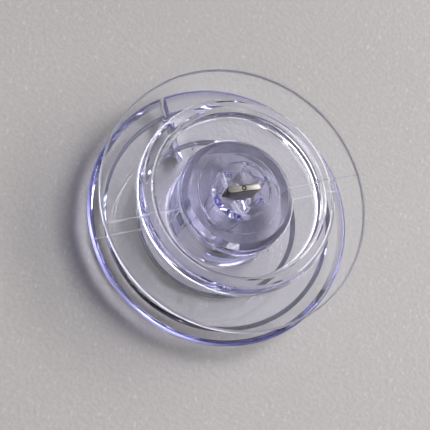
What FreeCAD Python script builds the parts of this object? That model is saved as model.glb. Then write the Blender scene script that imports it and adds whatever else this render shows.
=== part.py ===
import FreeCAD, Part
import math
import os

# Clear moulded sewing machine bobbin with a flat metal blade set in its hub.
# Millimetres. +Z is the bobbin's axis, the origin lies on the axis at the level of the table it stands on.

Vec = FreeCAD.Vector

# Lower flange, bevelled under its rim, and the two terraces that step down to the flat pad it stands on
FLANGE_R = 11.1
LOWER_FLANGE_T = 0.96
RIM_BEVEL = 0.56
RIM_ROUND = 0.26
STEP_H = 0.6
STEP_RUN = 0.32
PAD_STEP = 1.95
TERRACE_INSET = 1.66

# Drum between the flanges
DRUM_R = 4.62
WINDING_W = 4.12

# Thin upper flange with its raised ring rib
UPPER_FLANGE_T = 0.45
RIB_INSET = 3.05
RIB_W = 1.15
RIB_H = 1.2
RIB_DRAFT = 0.1
RIB_CROWN = 0.3

# Hub above the upper flange: collar, boss and stub
COLLAR_H = 0.88
COLLAR_CHAMFER = 0.42
BOSS_R = 3.4
BOSS_H = 0.2
BOSS_CHAMFER = 0.08
STUB_R = 2.3
STUB_H = 1.15
STUB_CHAMFER = 0.08

# Six-pointed star socket in the stub
STAR_POINTS = 6
STAR_WALL = 0.25
STAR_NOTCH_R = 1.3
STAR_ANGLE = 5.0
SOCKET_DEPTH = 2.0

# Metal blade across the socket, standing in a slit in the socket's floor
BLADE_L = 2.85
BLADE_T = 0.55
BLADE_ANGLE = 52.0
BLADE_SEAT = 0.8
BLADE_FIT = 0.02
DIMPLE_R = 0.2
DIMPLE_DEPTH = 0.12

# Spindle bore from below
BORE_R = 1.6
HUB_WEB = 1.0

# Thread slot through the lower flange
SLOT_W = 0.45
SLOT_OFFSET = 2.2
SLOT_ANGLE = 145.6
SLOT_END_GAP = 0.75

# Levels above the table
lower_bottom = 2 * STEP_H
lower_top = lower_bottom + LOWER_FLANGE_T
upper_bottom = lower_top + WINDING_W
upper_top = upper_bottom + UPPER_FLANGE_T
rib_top = upper_top + RIB_H
rib_shoulder = rib_top - RIB_CROWN
collar_top = upper_top + COLLAR_H
boss_top = collar_top + BOSS_H
stub_top = boss_top + STUB_H
socket_floor = stub_top - SOCKET_DEPTH
blade_bottom = socket_floor - BLADE_SEAT
bore_top = blade_bottom - HUB_WEB

# Radii that follow from the flange and the drum
pad_r = DRUM_R + PAD_STEP
terrace_r = FLANGE_R - TERRACE_INSET
rib_outer_r = FLANGE_R - RIB_INSET
rib_inner_r = rib_outer_r - RIB_W
rib_middle_r = (rib_outer_r + rib_inner_r) / 2
star_tip_r = STUB_R - STAR_WALL

# Distance from a corner's sides to the middle of the quarter arc that rounds it, for a radius of 1
ARC_GAP = 1 - math.sqrt(0.5)

# How far a cutting solid runs past the face that it breaks through
CUT_OVER = 1.0

# Marks a section point as the middle of an arc between the points beside it
ARC = "arc"


def section_face(points):
    """Face in the XZ plane with straight runs from point to point, and an arc through each point marked ARC."""
    edges = []
    for index, point in enumerate(points):
        after = points[(index + 1) % len(points)]
        here = Vec(point[0], 0, point[1])
        there = Vec(after[0], 0, after[1])
        if ARC in point:
            before = points[index - 1]
            edges.append(Part.Arc(Vec(before[0], 0, before[1]), here, there).toShape())
        elif ARC not in after:
            edges.append(Part.LineSegment(here, there).toShape())
    return Part.Face(Part.Wire(edges))


def turned_body():
    """The bobbin before its cuts: one half section turned about the axis."""
    section = [
        (0, bore_top),
        (BORE_R, bore_top),
        (BORE_R, 0),
        (pad_r, 0),
        (pad_r + STEP_RUN, STEP_H),
        (terrace_r, STEP_H),
        (terrace_r + STEP_RUN, lower_bottom),
        (FLANGE_R - RIM_BEVEL, lower_bottom),
        (FLANGE_R, lower_bottom + RIM_BEVEL),
        (FLANGE_R, lower_top - RIM_ROUND),
        (FLANGE_R - RIM_ROUND * ARC_GAP, lower_top - RIM_ROUND * ARC_GAP, ARC),
        (FLANGE_R - RIM_ROUND, lower_top),
        (DRUM_R, lower_top),
        (DRUM_R, upper_bottom),
        (FLANGE_R, upper_bottom),
        (FLANGE_R, upper_top),
        (rib_outer_r + RIB_DRAFT, upper_top),
        (rib_outer_r, rib_shoulder),
        (rib_middle_r, rib_top, ARC),
        (rib_inner_r, rib_shoulder),
        (rib_inner_r - RIB_DRAFT, upper_top),
        (DRUM_R, upper_top),
        (DRUM_R, collar_top - COLLAR_CHAMFER),
        (DRUM_R - COLLAR_CHAMFER, collar_top),
        (BOSS_R, collar_top),
        (BOSS_R, boss_top - BOSS_CHAMFER),
        (BOSS_R - BOSS_CHAMFER, boss_top),
        (STUB_R, boss_top),
        (STUB_R, stub_top - STUB_CHAMFER),
        (STUB_R - STUB_CHAMFER, stub_top),
        (0, stub_top),
    ]
    return section_face(section).revolve(Vec(0, 0, 0), Vec(0, 0, 1), 360)


def rounded_bar(length, width, bottom, top):
    """Upright bar with half-round ends, centred on the axis and lying along X."""
    half_run = (length - width) / 2
    half_width = width / 2
    side = Part.LineSegment(Vec(-half_run, -half_width, bottom), Vec(half_run, -half_width, bottom))
    nose = Part.Arc(side.EndPoint, Vec(half_run + half_width, 0, bottom), Vec(half_run, half_width, bottom))
    back = Part.LineSegment(nose.EndPoint, Vec(-half_run, half_width, bottom))
    tail = Part.Arc(back.EndPoint, Vec(-half_run - half_width, 0, bottom), side.StartPoint)
    outline = Part.Wire([side.toShape(), nose.toShape(), back.toShape(), tail.toShape()])
    return Part.Face(outline).extrude(Vec(0, 0, top - bottom))


def turned(shape, angle):
    """The shape turned about the axis by an angle in degrees."""
    shape.rotate(Vec(0, 0, 0), Vec(0, 0, 1), angle)
    return shape


def star_cut():
    """The star socket: a prism whose corners lie in turn on the tip circle and the notch circle."""
    points = []
    for index in range(2 * STAR_POINTS):
        radius = STAR_NOTCH_R if index % 2 else star_tip_r
        angle = math.radians(STAR_ANGLE) + index * math.pi / STAR_POINTS
        points.append(Vec(radius * math.cos(angle), radius * math.sin(angle), socket_floor))
    points.append(points[0])
    return Part.Face(Part.makePolygon(points)).extrude(Vec(0, 0, SOCKET_DEPTH + CUT_OVER))


def blade_slit_cut():
    """The slit that holds the blade, open at the top of the stub."""
    slit = rounded_bar(BLADE_L + 2 * BLADE_FIT, BLADE_T + 2 * BLADE_FIT, blade_bottom, stub_top + CUT_OVER)
    return turned(slit, BLADE_ANGLE)


def thread_slot_cut():
    """The straight slot from near the drum out through the rim of the lower flange, beside the axis."""
    end_r = DRUM_R + SLOT_END_GAP
    inner = math.sqrt(end_r ** 2 - SLOT_OFFSET ** 2)
    outer = FLANGE_R + CUT_OVER
    slot = rounded_bar(outer - inner, SLOT_W, -CUT_OVER, lower_top + WINDING_W / 2)
    slot.translate(Vec((inner + outer) / 2, SLOT_OFFSET, 0))
    return turned(slot, SLOT_ANGLE)


def bobbin():
    return turned_body().cut([star_cut(), blade_slit_cut(), thread_slot_cut()])


def drive_blade():
    """The blade on edge in its slit, flush with the stub, with a small cone dimple in its upper edge."""
    blade = rounded_bar(BLADE_L, BLADE_T, blade_bottom, stub_top)
    dimple = Part.makeCone(0, DIMPLE_R, DIMPLE_DEPTH, Vec(0, 0, stub_top - DIMPLE_DEPTH))
    return turned(blade.cut(dimple), BLADE_ANGLE)


os.makedirs("parts", exist_ok=True)
bobbin().exportStep("parts/bobbin.step")
drive_blade().exportStep("parts/drive_blade.step")
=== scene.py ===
import math

import bmesh
import bpy
import numpy as np
from mathutils import Matrix, Vector


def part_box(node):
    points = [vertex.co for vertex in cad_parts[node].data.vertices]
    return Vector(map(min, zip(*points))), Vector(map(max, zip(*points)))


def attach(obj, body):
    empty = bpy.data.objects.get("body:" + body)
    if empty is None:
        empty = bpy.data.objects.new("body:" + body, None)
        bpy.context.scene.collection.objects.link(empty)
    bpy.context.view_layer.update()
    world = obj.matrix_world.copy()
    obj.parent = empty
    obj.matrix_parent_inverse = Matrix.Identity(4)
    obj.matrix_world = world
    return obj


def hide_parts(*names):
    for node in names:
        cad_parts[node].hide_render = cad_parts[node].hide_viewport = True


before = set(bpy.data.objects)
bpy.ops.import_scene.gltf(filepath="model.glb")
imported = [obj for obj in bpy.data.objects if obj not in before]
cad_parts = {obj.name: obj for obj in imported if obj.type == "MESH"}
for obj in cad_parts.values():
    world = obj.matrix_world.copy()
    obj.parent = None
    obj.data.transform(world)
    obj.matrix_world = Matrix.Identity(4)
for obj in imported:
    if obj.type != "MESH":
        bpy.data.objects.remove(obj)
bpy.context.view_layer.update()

MM = 0.001

# Sizes of the moulding in millimetres, z up from the table.
FLANGE_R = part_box("bobbin")[1][0] / MM
STUB_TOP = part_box("bobbin")[1][2] / MM
RIM_BEVEL = 0.56
STEP_H = 0.6
STEP_RUN = 0.32
FOOT_H = 2 * STEP_H
LOWER_TOP = 2.16
UPPER_BOTTOM = 6.28
UPPER_TOP = 6.73
RIB_TOP = 7.93
COLLAR_TOP = 7.61
BOSS_TOP = 7.81
SOCKET_FLOOR = 6.96
BORE_TOP = 5.16
BORE_R = 1.6
PAD_R = 6.57
TERRACE_R = 9.44
DRUM_R = 4.62
RIB_R = (6.9, 8.05)
RIB_DRAFT = 0.1
COLLAR_CHAMFER = (0.45, 0.42)
BOSS_R = 3.4
STUB_R = 2.3

# Roundings of the moulding's corners.
TERRACE_ROUND = 0.03
BEVEL_ROUND = 0.04
RIM_ROUND = 0.26
EDGE_ROUND = 0.1
DRUM_ROUND = 0.2
RIB_ROUND = 0.4
HUB_CORNER_ROUND = 0.05
HUB_TOP_ROUND = 0.09
STAR_LIP_ROUND = 0.06

STAR_POINTS = 6
STAR_TIP_R = 2.05
STAR_NOTCH_R = 1.3
STAR_ANGLE = math.radians(5)

BLADE_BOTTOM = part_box("drive_blade")[0][2] / MM
BLADE_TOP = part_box("drive_blade")[1][2] / MM
BLADE_L = 2.85
BLADE_T = 0.55
BLADE_FIT = 0.02
BLADE_ANGLE = math.radians(52)
BLADE_ROUND = 0.09

# The ring punched into the blade's upper edge: radii of its two walls at top and bottom, and its depth.
RING_INNER_R = (0.08, 0.1)
RING_OUTER_R = (0.2, 0.17)
RING_DEPTH = 0.08

# The painted shade round the blade's upper edge, a dark band: how far down its middle lies, and half its
# height.
EDGE_SHADE_DOWN = 0.08
EDGE_SHADE_HALF = 0.07

SLOT_W = 0.45
SLOT_OFFSET = 2.2
SLOT_ANGLE = math.radians(145.6)
SLOT_INNER = 4.9

# How far the slot's cutting bar runs past the faces that it breaks through.
CUT_OVER = 1.0

# The two halves of the mould close on this line and leave a fine raised seam in the winding space.
# It runs a little way down the lower rim and up the upper one.
SEAM_ANGLE = math.radians(56)
SEAM_H = 0.022
SEAM_W = 0.05
SEAM_DOWN = 0.3
SEAM_UP = 0.1
SEAM_PALE = 0.65

# Painted shade in the corners of the underside's steps: half widths and amounts on the thin and the thick
# side, and its soft edge.
STEP_SHADE_SIDE = math.radians(285)
STEP_SHADE_W = (0.03, 0.28)
STEP_SHADE_AMOUNT = (0.5, 1.0)
STEP_SHADE_FADE = 0.05

# The flanges' edges, dulled where the mould parts and by handling.
EDGE_W = 0.15
EDGE_ROUGH = 0.3
EDGE_DUST = 0.3

# Two specks of dust on the upper flange.
SPECKS = ((-5.15, 0.51), (4.72, -1.56))
SPECK_R = 0.06

# How far a mask in a material reaches past the face that it ends at.
FACE_OVER = 0.05

# Fineness of the meshes: columns round the axis, steps in a rounding, and the spacing of section points.
COLUMNS = 360
BLADE_COLUMNS = 240
SEAM_COLUMNS = 9
SEAM_REACH = 2
SLOT_END_POINTS = 13
ARC_STEPS = 4
SUPPORT = 0.02
SHORTEST_RUN = 6 * SUPPORT
RUN_STEP = 1.5
TINY = 1e-6

# Largest angles, in degrees, that smooth shading runs across.
SMOOTH_PLASTIC = 30
SMOOTH_METAL = 35

# The table: half its width in metres, its gap below the bobbin in millimetres, and the way its painted
# glints lie.
TABLE_HALF = 1.0
TABLE_GAP = 0.03
GLINT_ANGLE = math.radians(25)

# Lamps: name, azimuth and elevation in degrees, distance, width and height in metres, power in watts.
LAMPS = (
    ("ceiling", 88, 65, 1.0, 0.5, 0.5, 0.62),
    ("window_key", 55, 46, 0.9, 0.9, 0.42, 9.9),
    ("window_left", 145, 44, 0.9, 0.09, 0.09, 0.2),
    ("window_back", 270, 23, 0.9, 0.15, 0.15, 0.6),
    ("door_back", 318, 21, 0.9, 0.3, 0.12, 1.1),
)

# Light goes on through many faces of the clear plastic before it leaves it.
BOUNCES = 48

# Camera: seen from well above, with the axis leaning up to the right in the picture. The frame's width, the
# camera's distance and the place where the lower rim's middle falls are in pixels of the photo.
CAMERA_TILT = math.radians(24.4)
AXIS_IN_PICTURE = math.radians(312.4)
PX_PER_MM = 12.01
PIXEL = MM / PX_PER_MM
FRAME_PX = 430
CAMERA_PX = 1400
CENTRE_PX = (218.26, 216.18)
SENSOR_MM = 36.0


def rounded_section(corners, radii):
    """The section (r, z) with each corner replaced by an arc of its mould radius.

    With unit vectors a and b from a corner to its neighbours and half the angle between them h, the arc
    touches the two runs at radius / tan h from the corner, and its centre is radius / sin h along a + b.
    """
    a = np.roll(corners, 1, axis=0) - corners
    b = np.roll(corners, -1, axis=0) - corners
    a /= np.linalg.norm(a, axis=1, keepdims=True)
    b /= np.linalg.norm(b, axis=1, keepdims=True)
    half = np.arccos(np.clip((a * b).sum(axis=1), -1, 1)) / 2
    along = (a + b) / np.linalg.norm(a + b, axis=1, keepdims=True)
    centre = corners + along * (radii / np.sin(half))[:, None]
    start = corners + a * (radii / np.tan(half))[:, None] - centre
    end = corners + b * (radii / np.tan(half))[:, None] - centre
    first = np.arctan2(start[:, 1], start[:, 0])
    turn = np.arctan2(end[:, 1], end[:, 0]) - first
    turn = (turn + np.pi) % (2 * np.pi) - np.pi
    angle = first[:, None] + turn[:, None] * np.linspace(0, 1, ARC_STEPS + 1)
    arcs = np.stack([np.cos(angle), np.sin(angle)], axis=-1) * radii[:, None, None]
    return (centre[:, None, :] + arcs).reshape(-1, 2)


def with_support_points(section):
    """The section with points close beside the ends of its straight runs and evenly along the long ones.

    Each point is found by its length along the section, so the shape stays as it was. The close pairs keep
    flat faces flat in smooth shading.
    """
    step = np.linalg.norm(np.diff(section, axis=0), axis=1)
    section = section[np.concatenate([[True], step > TINY])]
    step = np.linalg.norm(np.diff(section, axis=0), axis=1)
    length = np.concatenate([[0], np.cumsum(step)])
    runs = step > SHORTEST_RUN
    start = length[:-1][runs]
    end = length[1:][runs]
    even = np.arange(0, length[-1], RUN_STEP)[:, None]
    clear_of_ends = ((even > start + RUN_STEP / 3) & (even < end - RUN_STEP / 3)).any(axis=1)
    at = np.sort(np.concatenate([length, start + SUPPORT, end - SUPPORT, even[clear_of_ends, 0]]))
    return np.stack([np.interp(at, length, section[:, 0]), np.interp(at, length, section[:, 1])], axis=-1)


def star_radius(angle):
    """Distance from the axis to the socket's star outline: straight lines between tips and notches.

    In each sector the line joins (tip, 0) and (notch, half a pitch), so its polar form is
    tip * notch * sin(half pitch) / (tip * sin(t) + notch * sin(half pitch - t)).
    """
    half = np.pi / STAR_POINTS
    t = np.abs((angle - STAR_ANGLE + half) % (2 * half) - half)
    return STAR_TIP_R * STAR_NOTCH_R * np.sin(half) / (
        STAR_TIP_R * np.sin(t) + STAR_NOTCH_R * np.sin(half - t))


def bar_radius(angle, length, width):
    """Distance from the centre to the outline of a bar with round ends, its long axis along angle 0.

    A flat side is at half width / |sin|; nearer the axis the ray meets the end circle instead.
    """
    w = width / 2
    c = length / 2 - w
    side = w / np.maximum(np.abs(np.sin(angle)), TINY)
    cosine = np.abs(np.cos(angle))
    cap = c * cosine + np.sqrt(np.maximum(w * w - (c * np.sin(angle)) ** 2, 0))
    return np.where(side * cosine > c, cap, side)


def grid_mesh(name, points):
    """A closed mesh from a grid of points (column, row, xyz) in mm.

    Neighbours make quads, and the last column joins the first.
    """
    columns, rows = points.shape[:2]
    i, j = np.meshgrid(np.arange(columns), np.arange(rows - 1), indexing="ij")
    k = (i + 1) % columns
    quads = np.stack([i * rows + j, k * rows + j, k * rows + j + 1, i * rows + j + 1], axis=-1)
    mesh = bpy.data.meshes.new(name)
    mesh.from_pydata((points.reshape(-1, 3) * MM).tolist(), [], quads.reshape(-1, 4).tolist())
    close_up(mesh)
    return mesh


def close_up(mesh):
    """Merges the poles of a mesh and turns its faces outwards."""
    shell = bmesh.new()
    shell.from_mesh(mesh)
    bmesh.ops.remove_doubles(shell, verts=shell.verts, dist=TINY * MM)
    bmesh.ops.recalc_face_normals(shell, faces=shell.faces)
    shell.to_mesh(mesh)
    shell.free()


def show(name, mesh):
    """Puts a mesh into the scene as an object at the origin."""
    piece = bpy.data.objects.new(name, mesh)
    bpy.context.scene.collection.objects.link(piece)
    return piece


def shaded(mesh, degrees):
    """Smooth shading, with sharp edges where faces meet at more than that angle."""
    mesh.shade_smooth()
    mesh.set_sharp_from_angle(angle=math.radians(degrees))


def body_rows():
    """The moulding's half section from the bore's top round to the star's lip, as rows (radius, height).

    Each corner is given as its radius, its height and its rounding.
    """
    section = np.array([
        (0, BORE_TOP, 0),
        (BORE_R, BORE_TOP, EDGE_ROUND),
        (BORE_R, 0, EDGE_ROUND),
        (PAD_R, 0, TERRACE_ROUND),
        (PAD_R + STEP_RUN, STEP_H, TERRACE_ROUND),
        (TERRACE_R, STEP_H, TERRACE_ROUND),
        (TERRACE_R + STEP_RUN, FOOT_H, TERRACE_ROUND),
        (FLANGE_R - RIM_BEVEL, FOOT_H, BEVEL_ROUND),
        (FLANGE_R, FOOT_H + RIM_BEVEL, EDGE_ROUND),
        (FLANGE_R, LOWER_TOP, RIM_ROUND),
        (DRUM_R, LOWER_TOP, DRUM_ROUND),
        (DRUM_R, UPPER_BOTTOM, DRUM_ROUND),
        (FLANGE_R, UPPER_BOTTOM, EDGE_ROUND),
        (FLANGE_R, UPPER_TOP, EDGE_ROUND),
        (RIB_R[1] + RIB_DRAFT, UPPER_TOP, EDGE_ROUND),
        (RIB_R[1], RIB_TOP, RIB_ROUND),
        (RIB_R[0], RIB_TOP, RIB_ROUND),
        (RIB_R[0] - RIB_DRAFT, UPPER_TOP, EDGE_ROUND),
        (DRUM_R, UPPER_TOP, DRUM_ROUND),
        (DRUM_R, COLLAR_TOP - COLLAR_CHAMFER[1], EDGE_ROUND),
        (DRUM_R - COLLAR_CHAMFER[0], COLLAR_TOP, EDGE_ROUND),
        (BOSS_R, COLLAR_TOP, HUB_CORNER_ROUND),
        (BOSS_R, BOSS_TOP, HUB_TOP_ROUND),
        (STUB_R, BOSS_TOP, HUB_CORNER_ROUND),
        (STUB_R, STUB_TOP, HUB_TOP_ROUND),
        (0, STUB_TOP, 0),
    ])
    rows = with_support_points(rounded_section(section[:, :2], section[:, 2]))
    below_top = rows[:, 1] < STUB_TOP - TINY
    return rows[below_top | (rows[:, 0] > STAR_TIP_R + STAR_LIP_ROUND)]


def seam_ridge(rows, angle):
    """Height of the mould seam at each row and angle: a bell curve across the parting line.

    Height = SEAM_H * exp(-(distance from the line / SEAM_W) squared), in the winding space only.
    """
    off = (angle[:, None] - SEAM_ANGLE + np.pi / 2) % np.pi - np.pi / 2
    between_flanges = (rows[:, 1] > LOWER_TOP - SEAM_DOWN) & (rows[:, 1] < UPPER_BOTTOM + SEAM_UP)
    outside_drum = rows[:, 0] > DRUM_R - SEAM_UP
    return SEAM_H * np.exp(-(off * rows[:, 0] / SEAM_W) ** 2) * (between_flanges & outside_drum)


def clear_bobbin():
    """The moulding: a section turned round the axis, whose socket has a radius that changes with angle.

    Every row has an offset, a height and the outline that its offset is added to: the axis, the star or
    the blade's slit. Radius = outline(angle) + offset. The seam lifts a row along its normal.
    """
    rows = body_rows()
    lip_turn = np.linspace(0, np.pi / 2, ARC_STEPS + 1)
    lip = np.stack([STAR_LIP_ROUND * (1 - np.sin(lip_turn)),
                    STUB_TOP - STAR_LIP_ROUND * (1 - np.cos(lip_turn))], axis=-1)
    star_rows = np.concatenate([lip, [(0, SOCKET_FLOOR)]])
    slit_rows = np.array([(0, SOCKET_FLOOR), (0, BLADE_BOTTOM), (-BLADE_L, BLADE_BOTTOM)])

    across_seam = np.linspace(-SEAM_REACH, SEAM_REACH, SEAM_COLUMNS) * SEAM_W / FLANGE_R
    seam_angles = (SEAM_ANGLE + np.pi * np.arange(2))[:, None] + across_seam
    even_angles = np.linspace(0, 2 * np.pi, COLUMNS, endpoint=False)
    angle = np.unique(np.concatenate([even_angles, seam_angles.ravel()]) % (2 * np.pi))

    ridge = seam_ridge(rows, angle)
    along = np.gradient(rows, axis=0)
    normal = np.stack([along[:, 1], -along[:, 0]], axis=-1) / np.linalg.norm(along, axis=1, keepdims=True)

    slit = bar_radius(angle - BLADE_ANGLE, BLADE_L + 2 * BLADE_FIT, BLADE_T + 2 * BLADE_FIT)
    r = np.concatenate([
        rows[:, 0] + ridge * normal[:, 0],
        star_radius(angle)[:, None] + star_rows[:, 0],
        np.maximum(slit[:, None] + slit_rows[:, 0], 0),
    ], axis=1)
    socket_z = np.concatenate([star_rows[:, 1], slit_rows[:, 1]])
    z = np.concatenate([
        rows[:, 1] + ridge * normal[:, 1],
        np.broadcast_to(socket_z, (len(angle), len(socket_z))),
    ], axis=1)
    points = np.stack([r * np.cos(angle)[:, None], r * np.sin(angle)[:, None], z], axis=-1)
    return grid_mesh("bobbin_clear", points)


def slot_cutter():
    """A bar through the lower flange: a half-round inner end, parallel sides and an end past the rim."""
    turn = np.linspace(np.pi / 2, 3 * np.pi / 2, SLOT_END_POINTS)
    half = SLOT_W / 2
    inner = np.stack([SLOT_INNER + half + half * np.cos(turn), half * np.sin(turn)], axis=-1)
    outline = np.concatenate([inner, [(FLANGE_R + CUT_OVER, -half), (FLANGE_R + CUT_OVER, half)]])
    outline[:, 1] += SLOT_OFFSET
    c, s = math.cos(SLOT_ANGLE), math.sin(SLOT_ANGLE)
    xy = outline @ np.array([(c, s), (-s, c)])
    n = len(xy)
    low = np.column_stack([xy, np.full(n, -CUT_OVER)])
    high = np.column_stack([xy, np.full(n, LOWER_TOP + CUT_OVER)])
    i = np.arange(n)
    k = (i + 1) % n
    sides = np.stack([i, k, k + n, i + n], axis=-1).tolist()
    ends = [i[::-1].tolist(), (i + n).tolist()]
    mesh = bpy.data.meshes.new("slot_cutter")
    mesh.from_pydata((np.concatenate([low, high]) * MM).tolist(), [], sides + ends)
    close_up(mesh)
    return mesh


def cut(piece, cutter):
    """Takes one shape out of another and keeps the result as the piece's own mesh."""
    step = piece.modifiers.new("cut", "BOOLEAN")
    step.operation = "DIFFERENCE"
    step.solver = "EXACT"
    step.object = cutter
    result = bpy.data.meshes.new_from_object(piece.evaluated_get(bpy.context.evaluated_depsgraph_get()))
    piece.modifiers.clear()
    piece.data = result
    result.name = piece.name
    bpy.data.objects.remove(cutter)


def blade():
    """The blade: rows of outlines, from the punched ring on top out to the round-ended bar and down.

    Each row has a circle's radius, a weight for the bar's outline, an inset of that outline and a height.
    Radius = circle + weight * (bar(angle) - inset).
    """
    ring_floor = BLADE_TOP - RING_DEPTH
    ring = [
        (0, 0, 0, BLADE_TOP),
        (RING_INNER_R[0], 0, 0, BLADE_TOP),
        (RING_INNER_R[1], 0, 0, ring_floor),
        (RING_OUTER_R[1], 0, 0, ring_floor),
        (RING_OUTER_R[0], 0, 0, BLADE_TOP),
    ]
    turn = np.linspace(0, np.pi / 2, ARC_STEPS + 1)
    edge = np.stack([np.zeros_like(turn), np.ones_like(turn), BLADE_ROUND * (1 - np.sin(turn)),
                     BLADE_TOP - BLADE_ROUND * (1 - np.cos(turn))], axis=-1)
    foot = [(0, 1, 0, BLADE_BOTTOM), (0, 0, 0, BLADE_BOTTOM)]
    rows = np.concatenate([ring, edge, foot])
    angle = np.linspace(0, 2 * np.pi, BLADE_COLUMNS, endpoint=False)
    bar = bar_radius(angle, BLADE_L, BLADE_T)[:, None]
    r = rows[:, 0] + rows[:, 1] * (bar - rows[:, 2])
    direction = (angle + BLADE_ANGLE)[:, None]
    z = np.broadcast_to(rows[:, 3], r.shape)
    points = np.stack([r * np.cos(direction), r * np.sin(direction), z], axis=-1)
    return grid_mesh("drive_blade_plated", points)


def linear(code):
    """An sRGB hex colour as linear values.

    Each channel c becomes c / 12.92 up to 0.04045, and ((c + 0.055) / 1.055) to the power of 2.4 above it.
    """
    c = np.array([int(code[k:k + 2], 16) for k in (1, 3, 5)]) / 255
    c = np.where(c <= 0.04045, c / 12.92, ((c + 0.055) / 1.055) ** 2.4)
    return (*c.tolist(), 1.0)


def add(tree, kind, settings=None, links=None):
    """A node of that kind: settings are properties or socket values, links are the sockets that feed it."""
    node = tree.nodes.new(kind)
    for key, value in (settings or {}).items():
        if isinstance(key, str) and hasattr(node, key):
            setattr(node, key, value)
        else:
            node.inputs[key].default_value = value
    for key, socket in (links or {}).items():
        tree.links.new(socket, node.inputs[key])
    return node


def new_material(name):
    """An empty node material and its tree."""
    material = bpy.data.materials.new(name)
    material.use_nodes = True
    material.node_tree.nodes.clear()
    return material, material.node_tree


def per_metre(size_mm):
    """A texture scale that repeats once in that many millimetres."""
    return 1 / (size_mm * MM)


def painted_step_shade(tree, reach, outward, height):
    """How much painted shade lies at a point of the underside: dark bands in the corners of its steps.

    Shade = clamp((width - distance to the nearer step) / fade) * amount, below the flange only. Width and
    amount grow with the cosine of the angle between the point's direction and the near side, the side angle
    set at the top.
    """
    towards = (math.cos(STEP_SHADE_SIDE), math.sin(STEP_SHADE_SIDE), 0)
    side = add(tree, "ShaderNodeVectorMath", {"operation": "DOT_PRODUCT", 1: towards}, {0: outward})
    width = add(tree, "ShaderNodeMapRange",
                {"From Min": -1.0, "From Max": 1.0, "To Min": STEP_SHADE_W[0] * MM, "To Max": STEP_SHADE_W[1] * MM},
                {"Value": side.outputs["Value"]})
    amount = add(tree, "ShaderNodeMapRange",
                 {"From Min": -1.0, "From Max": 1.0, "To Min": STEP_SHADE_AMOUNT[0], "To Max": STEP_SHADE_AMOUNT[1]},
                 {"Value": side.outputs["Value"]})
    gaps = []
    for step_r in (PAD_R, TERRACE_R):
        middle = (step_r + STEP_RUN / 2) * MM
        off = add(tree, "ShaderNodeMath", {"operation": "SUBTRACT", 1: middle}, {0: reach})
        gaps.append(add(tree, "ShaderNodeMath", {"operation": "ABSOLUTE"}, {0: off.outputs[0]}).outputs[0])
    gap = add(tree, "ShaderNodeMath", {"operation": "MINIMUM"}, {0: gaps[0], 1: gaps[1]})
    inside = add(tree, "ShaderNodeMath", {"operation": "SUBTRACT"},
                 {0: width.outputs["Result"], 1: gap.outputs[0]})
    line = add(tree, "ShaderNodeMath",
               {"operation": "MULTIPLY", 1: 1 / (STEP_SHADE_FADE * MM), "use_clamp": True},
               {0: inside.outputs[0]})
    below = add(tree, "ShaderNodeMath",
                {"operation": "LESS_THAN", 1: (FOOT_H + FACE_OVER) * MM}, {0: height})
    corner = add(tree, "ShaderNodeMath", {"operation": "MULTIPLY"},
                 {0: line.outputs[0], 1: below.outputs[0]})
    shade_in_steps = add(tree, "ShaderNodeMath", {"operation": "MULTIPLY"},
                {0: corner.outputs[0], 1: amount.outputs["Result"]})
    return shade_in_steps.outputs[0]


def dust_specks(tree, at):
    """One within SPECK_R of the nearer speck, nought elsewhere."""
    far = []
    for x, y in SPECKS:
        middle = (x * MM, y * MM, UPPER_TOP * MM)
        away = add(tree, "ShaderNodeVectorMath", {"operation": "DISTANCE", 1: middle}, {0: at})
        far.append(away.outputs["Value"])
    nearest = add(tree, "ShaderNodeMath", {"operation": "MINIMUM"}, {0: far[0], 1: far[1]})
    speck = add(tree, "ShaderNodeMath",
                {"operation": "LESS_THAN", 1: SPECK_R * MM}, {0: nearest.outputs[0]})
    return speck.outputs[0]


def pale_seam(tree, at, height):
    """How milky the plastic is on the mould's parting line, within SEAM_W of it in the winding space."""
    across = (-math.sin(SEAM_ANGLE), math.cos(SEAM_ANGLE), 0)
    off = add(tree, "ShaderNodeVectorMath", {"operation": "DOT_PRODUCT", 1: across}, {0: at})
    on_line = add(tree, "ShaderNodeMath", {"operation": "COMPARE", 1: 0.0, 2: SEAM_W * MM},
                  {0: off.outputs["Value"]})
    middle = (LOWER_TOP + UPPER_BOTTOM) / 2
    half = (UPPER_BOTTOM - LOWER_TOP) / 2 + SEAM_UP
    winding = add(tree, "ShaderNodeMath",
                  {"operation": "COMPARE", 1: middle * MM, 2: half * MM}, {0: height})
    seam = add(tree, "ShaderNodeMath", {"operation": "MULTIPLY"},
               {0: on_line.outputs[0], 1: winding.outputs[0]})
    pale = add(tree, "ShaderNodeMath", {"operation": "MULTIPLY", 1: SEAM_PALE}, {0: seam.outputs[0]})
    return pale.outputs[0]
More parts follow.
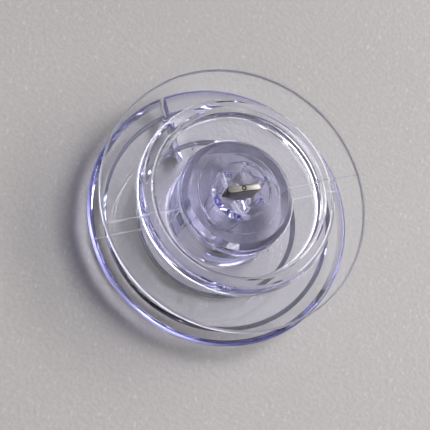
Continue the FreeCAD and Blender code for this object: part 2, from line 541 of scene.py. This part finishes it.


# Clear acrylic, injection moulded in a polished mould with a trace of violet toner: colourless face on,
# blue violet where the eye looks along the plastic and most of all in the rim, where a deeper violet is
# painted in for the light guided along it, with faint flow waves from filling. Handling has dulled the
# flanges' edges, painted shade darkens the corners of the steps below, and the seam is milky.
def clear_acrylic():
    material, tree = new_material("Clear_acrylic_moulded")
    at = add(tree, "ShaderNodeTexCoord").outputs["Object"]
    height = add(tree, "ShaderNodeSeparateXYZ", {}, {"Vector": at}).outputs["Z"]
    flat = add(tree, "ShaderNodeVectorMath",
               {"operation": "MULTIPLY", 1: (1, 1, 0)}, {0: at}).outputs["Vector"]
    reach = add(tree, "ShaderNodeVectorMath", {"operation": "LENGTH"}, {0: flat}).outputs["Value"]
    outward = add(tree, "ShaderNodeVectorMath", {"operation": "NORMALIZE"}, {0: flat}).outputs["Vector"]

    flow = add(tree, "ShaderNodeTexNoise", {"Scale": per_metre(2.2), "Detail": 2.0}, {"Vector": at})
    waves = add(tree, "ShaderNodeBump", {"Strength": 0.25, "Distance": 0.01 * MM},
                {"Height": flow.outputs["Fac"]})

    at_edge = add(tree, "ShaderNodeMath",
                  {"operation": "GREATER_THAN", 1: (FLANGE_R - EDGE_W) * MM}, {0: reach})
    haze = add(tree, "ShaderNodeTexNoise", {"Scale": per_metre(0.7), "Detail": 3.0}, {"Vector": at})
    handled = add(tree, "ShaderNodeMapRange",
                  {"From Min": 0.45, "From Max": 0.75, "To Min": 0.0, "To Max": 0.04},
                  {"Value": haze.outputs["Fac"]})
    matt = add(tree, "ShaderNodeMath", {"operation": "MULTIPLY", 1: EDGE_ROUGH}, {0: at_edge.outputs[0]})
    finish = add(tree, "ShaderNodeMath", {"operation": "MAXIMUM"},
                 {0: handled.outputs["Result"], 1: matt.outputs[0]})

    # Painted shade: dark bands in the corners of the underside's steps, wider and darker on the near side.
    shade_in_steps = painted_step_shade(tree, reach, outward, height)
    shade_and_specks = add(tree, "ShaderNodeMath", {"operation": "MAXIMUM"}, {0: shade_in_steps, 1: dust_specks(tree, at)})
    upper = add(tree, "ShaderNodeMath", {"operation": "GREATER_THAN", 1: LOWER_TOP * MM}, {0: height})
    upper_edge = add(tree, "ShaderNodeMath", {"operation": "MULTIPLY"},
                     {0: at_edge.outputs[0], 1: upper.outputs[0]})
    dust = add(tree, "ShaderNodeMath", {"operation": "MULTIPLY", 1: EDGE_DUST}, {0: upper_edge.outputs[0]})
    milky = add(tree, "ShaderNodeMath", {"operation": "MAXIMUM"},
                {0: dust.outputs[0], 1: pale_seam(tree, at, height)})
    opaque = add(tree, "ShaderNodeMath", {"operation": "MAXIMUM"},
                 {0: shade_and_specks.outputs[0], 1: milky.outputs[0]})
    clear = add(tree, "ShaderNodeMath", {"operation": "SUBTRACT", 0: 1.0}, {1: opaque.outputs[0]})

    # Painted violet light: the lower rim's colour deepens to violet towards its edge, standing in for the
    # light guided along the rim.
    to_rim = add(tree, "ShaderNodeMapRange",
                 {"From Min": (FLANGE_R - RIM_BEVEL) * MM, "From Max": (FLANGE_R - RIM_BEVEL / 4) * MM},
                 {"Value": reach})
    lower = add(tree, "ShaderNodeMath",
                {"operation": "LESS_THAN", 1: (LOWER_TOP + FACE_OVER) * MM}, {0: height})
    painted_violet_weight = add(tree, "ShaderNodeMath", {"operation": "MULTIPLY"},
              {0: to_rim.outputs["Result"], 1: lower.outputs[0]})
    rim_painted_violet = add(tree, "ShaderNodeMix", {"data_type": "RGBA", 6: linear("#ffffff"), 7: linear("#cacaff")},
                  {"Factor": painted_violet_weight.outputs[0]})
    dulled = add(tree, "ShaderNodeMix", {"data_type": "RGBA", 7: linear("#b2b0bb")},
                 {"Factor": upper_edge.outputs[0], 6: rim_painted_violet.outputs[2]})
    # Near black where the painted step shade or a dust speck lies.
    colour = add(tree, "ShaderNodeMix", {"data_type": "RGBA", 7: linear("#141313")},
                 {"Factor": shade_and_specks.outputs[0], 6: dulled.outputs[2]})

    body = add(tree, "ShaderNodeBsdfPrincipled", {"IOR": 1.5},
               {"Base Color": colour.outputs[2], "Transmission Weight": clear.outputs[0],
                "Roughness": finish.outputs[0], "Normal": waves.outputs["Normal"]})
    toner = add(tree, "ShaderNodeVolumeAbsorption", {"Color": linear("#e2e2fe"), "Density": 105.0})
    add(tree, "ShaderNodeOutputMaterial", {},
        {"Surface": body.outputs["BSDF"], "Volume": toner.outputs["Volume"]})
    return material


# Nickel-plated spring steel strip: a warm grey mirror dulled by handling and by rolling lines along the
# strip, drawn coarser than real ones so that they show, with a dark band of painted shade round its upper
# edge.
def nickel_plate():
    material, tree = new_material("Nickel_plated_steel_strip")
    at = add(tree, "ShaderNodeTexCoord").outputs["Object"]
    height = add(tree, "ShaderNodeSeparateXYZ", {}, {"Vector": at}).outputs["Z"]
    strip_way = add(tree, "ShaderNodeMapping",
                    {"vector_type": "TEXTURE", "Rotation": (0, 0, BLADE_ANGLE), "Scale": (5.0, 1.0, 1.0)},
                    {"Vector": at})
    rolled = add(tree, "ShaderNodeTexNoise", {"Scale": per_metre(0.12), "Detail": 3.0},
                 {"Vector": strip_way.outputs["Vector"]})
    plate = add(tree, "ShaderNodeMix", {"data_type": "RGBA", 6: linear("#66635e"), 7: linear("#9f9c96")},
                {"Factor": rolled.outputs["Fac"]})
    # Painted shade: a dark band round the blade just below its top, for the shade on its rounded edge.
    painted_edge_shade = add(tree, "ShaderNodeMath",
               {"operation": "COMPARE", 1: (BLADE_TOP - EDGE_SHADE_DOWN) * MM, 2: EDGE_SHADE_HALF * MM}, {0: height})
    colour = add(tree, "ShaderNodeMix", {"data_type": "RGBA", 7: linear("#26231f")},
                 {"Factor": painted_edge_shade.outputs[0], 6: plate.outputs[2]})
    rough = add(tree, "ShaderNodeMapRange", {"To Min": 0.3, "To Max": 0.4},
                {"Value": rolled.outputs["Fac"]})
    bump = add(tree, "ShaderNodeBump", {"Strength": 0.3, "Distance": 0.01 * MM},
               {"Height": rolled.outputs["Fac"]})
    metal = add(tree, "ShaderNodeBsdfPrincipled", {"Metallic": 1.0},
                {"Base Color": colour.outputs[2], "Roughness": rough.outputs["Result"],
                 "Normal": bump.outputs["Normal"]})
    add(tree, "ShaderNodeOutputMaterial", {}, {"Surface": metal.outputs["BSDF"]})
    return material


# Pale grey laminate with a fine pressed grain, and short pale flecks that lie mostly one way, painted in
# for glints where the grain catches the light.
def grey_laminate():
    material, tree = new_material("Grey_laminate_table")
    at = add(tree, "ShaderNodeTexCoord").outputs["Object"]
    grain = add(tree, "ShaderNodeTexNoise", {"Scale": per_metre(0.35), "Detail": 3.0}, {"Vector": at})
    tone = add(tree, "ShaderNodeMix", {"data_type": "RGBA", 6: linear("#aeaaa9"), 7: linear("#c2bebd")},
               {"Factor": grain.outputs["Fac"]})
    glint_way = add(tree, "ShaderNodeMapping",
                    {"vector_type": "TEXTURE", "Rotation": (0, 0, GLINT_ANGLE), "Scale": (1.0, 2.5, 1.0)},
                    {"Vector": at})
    glint_noise = add(tree, "ShaderNodeTexNoise", {"Scale": per_metre(0.28), "Detail": 1.0},
                {"Vector": glint_way.outputs["Vector"]})
    # Painted highlight: short pale flecks in the table's colour, standing in for glints on its grain.
    painted_glint = add(tree, "ShaderNodeMapRange",
                {"From Min": 0.63, "From Max": 0.78, "To Min": 0.0, "To Max": 0.4},
                {"Value": glint_noise.outputs["Fac"]})
    colour = add(tree, "ShaderNodeMix", {"data_type": "RGBA", 7: linear("#dcd9d8")},
                 {"Factor": painted_glint.outputs["Result"], 6: tone.outputs[2]})
    bump = add(tree, "ShaderNodeBump", {"Strength": 0.5, "Distance": 0.08 * MM},
               {"Height": grain.outputs["Fac"]})
    sheet = add(tree, "ShaderNodeBsdfPrincipled", {"Roughness": 0.55},
                {"Base Color": colour.outputs[2], "Normal": bump.outputs["Normal"]})
    add(tree, "ShaderNodeOutputMaterial", {}, {"Surface": sheet.outputs["BSDF"]})
    return material


def table_top():
    """A square of table just under the bobbin."""
    h = TABLE_HALF
    z = -TABLE_GAP * MM
    mesh = bpy.data.meshes.new("table_top")
    mesh.from_pydata([(-h, -h, z), (h, -h, z), (h, h, z), (-h, h, z)], [], [(0, 1, 2, 3)])
    return mesh


def light(name, azimuth, elevation, distance, width, height, power):
    """A rectangular lamp that faces the origin from that direction, with angles in degrees."""
    lamp = bpy.data.lights.new(name, "AREA")
    lamp.energy = power
    lamp.shape = "RECTANGLE"
    lamp.size = width
    lamp.size_y = height
    a, e = math.radians(azimuth), math.radians(elevation)
    place = distance * Vector((math.cos(a) * math.cos(e), math.sin(a) * math.cos(e), math.sin(e)))
    holder = bpy.data.objects.new(name, lamp)
    facing = (-place).to_track_quat("-Z", "Y").to_matrix().to_4x4()
    holder.matrix_world = Matrix.Translation(place) @ facing
    bpy.context.scene.collection.objects.link(holder)


def room(low, high, low_elevation, high_elevation):
    """A soft grey room: dim near the horizon, brighter overhead, with a smooth step between."""
    world = bpy.data.worlds.new("soft_room")
    world.use_nodes = True
    tree = world.node_tree
    tree.nodes.clear()
    place = add(tree, "ShaderNodeTexCoord")
    up = add(tree, "ShaderNodeSeparateXYZ", {}, {"Vector": place.outputs["Generated"]})
    level = add(tree, "ShaderNodeMapRange",
                {"interpolation_type": "SMOOTHSTEP", "From Min": math.sin(low_elevation),
                 "From Max": math.sin(high_elevation), "To Min": low, "To Max": high},
                {"Value": up.outputs["Z"]})
    sky = add(tree, "ShaderNodeBackground", {"Color": linear("#ffffff")},
              {"Strength": level.outputs["Result"]})
    add(tree, "ShaderNodeOutputWorld", {}, {"Surface": sky.outputs["Background"]})
    bpy.context.scene.world = world


def photo_camera():
    """Looks down, CAMERA_TILT off the axis: the axis point at the lower rim's middle falls on CENTRE_PX."""
    lens = bpy.data.cameras.new("photo_camera")
    lens.sensor_width = SENSOR_MM
    lens.lens = lens.sensor_width * CAMERA_PX / FRAME_PX
    lens.clip_start = MM
    back = Vector((0, -math.sin(CAMERA_TILT), math.cos(CAMERA_TILT)))
    axis = Vector((0, math.cos(CAMERA_TILT), math.sin(CAMERA_TILT)))
    side = Vector((1, 0, 0))
    c, s = math.cos(AXIS_IN_PICTURE), -math.sin(AXIS_IN_PICTURE)
    right = c * axis + s * side
    up = s * axis - c * side
    target = Vector((0, 0, (FOOT_H + LOWER_TOP) / 2 * MM))
    place = (target + back * CAMERA_PX * PIXEL - right * (CENTRE_PX[0] - FRAME_PX / 2) * PIXEL
             - up * (FRAME_PX / 2 - CENTRE_PX[1]) * PIXEL)
    holder = bpy.data.objects.new("photo_camera", lens)
    matrix = Matrix((right, up, back)).transposed().to_4x4()
    matrix.translation = place
    holder.matrix_world = matrix
    bpy.context.scene.collection.objects.link(holder)
    bpy.context.scene.camera = holder


bobbin = show("bobbin_clear", clear_bobbin())
cut(bobbin, show("slot_cutter", slot_cutter()))
shaded(bobbin.data, SMOOTH_PLASTIC)
bobbin.data.materials.clear()
bobbin.data.materials.append(clear_acrylic())
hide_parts("bobbin")
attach(bobbin, "root")

strip = show("drive_blade_plated", blade())
shaded(strip.data, SMOOTH_METAL)
strip.data.materials.append(nickel_plate())
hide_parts("drive_blade")
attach(strip, "root")

table = table_top()
table.materials.append(grey_laminate())
show("table_top", table)

photo_camera()
room(low=0.02, high=0.07, low_elevation=math.radians(15), high_elevation=math.radians(60))
for lamp in LAMPS:
    light(*lamp)

scene = bpy.context.scene
scene.view_settings.view_transform = "Standard"
scene.cycles.max_bounces = BOUNCES
scene.cycles.transmission_bounces = BOUNCES
scene.cycles.glossy_bounces = BOUNCES
scene.cycles.blur_glossy = 0.0
